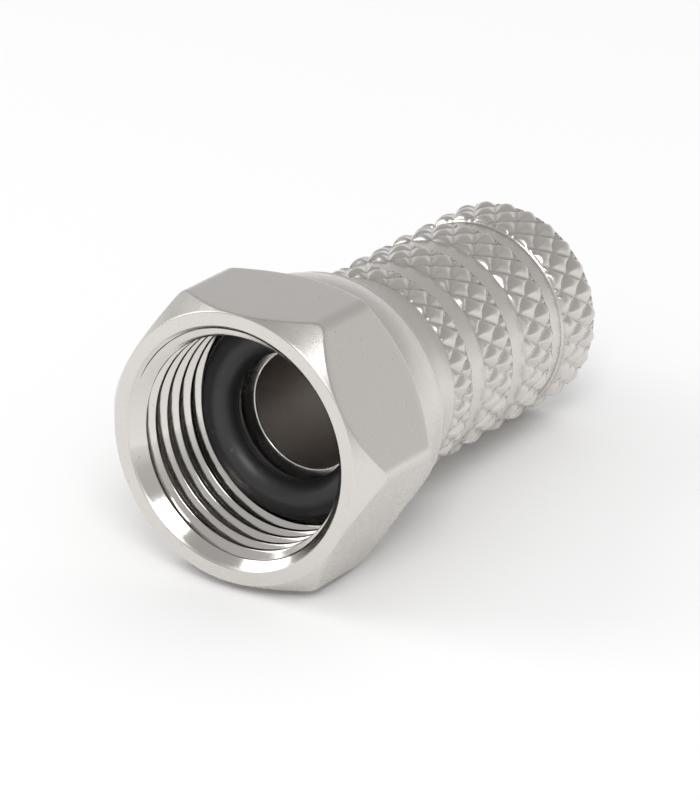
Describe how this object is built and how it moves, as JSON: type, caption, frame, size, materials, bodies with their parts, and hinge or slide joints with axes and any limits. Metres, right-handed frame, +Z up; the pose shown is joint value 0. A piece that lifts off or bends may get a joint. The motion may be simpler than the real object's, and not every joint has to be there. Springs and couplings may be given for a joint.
{
  "type": "f connector",
  "caption": "Twist-on F connector for coaxial cable: a hex coupling nut that spins freely on a knurled sleeve, with a black sealing ring in the threaded mouth.",
  "frame": {"origin": "on the surface that the connector lies on, below the middle of its bounding box", "axes": "+Y towards the cable end, so the threaded mouth faces -Y; +Z up; the axis of the connector dips 4.52 degrees towards the cable end, because it rests on a flat of the nut and the rear of the grip"},
  "size_m": [0.0126, 0.0208, 0.0114],
  "materials": {
    "nut_nickel": "satin nickel plate, brighter on the turned face and the thread",
    "sleeve_nickel": "satin nickel plate over the knurl",
    "rubber": "smooth, slightly glossy"
  },
  "bodies": {
    "sleeve": {"knurled_sleeve": "sleeve_nickel", "sealing_ring": "rubber"},
    "nut": {"coupling_nut": "nut_nickel"}
  },
  "joints": [
    {"name": "nut_spin", "type": "hinge", "parent": "sleeve", "child": "nut", "pos_m": [0, -0.00326, 0.00535], "axis": [0, -0.9969, 0.0788], "continuous": true}
  ]
}
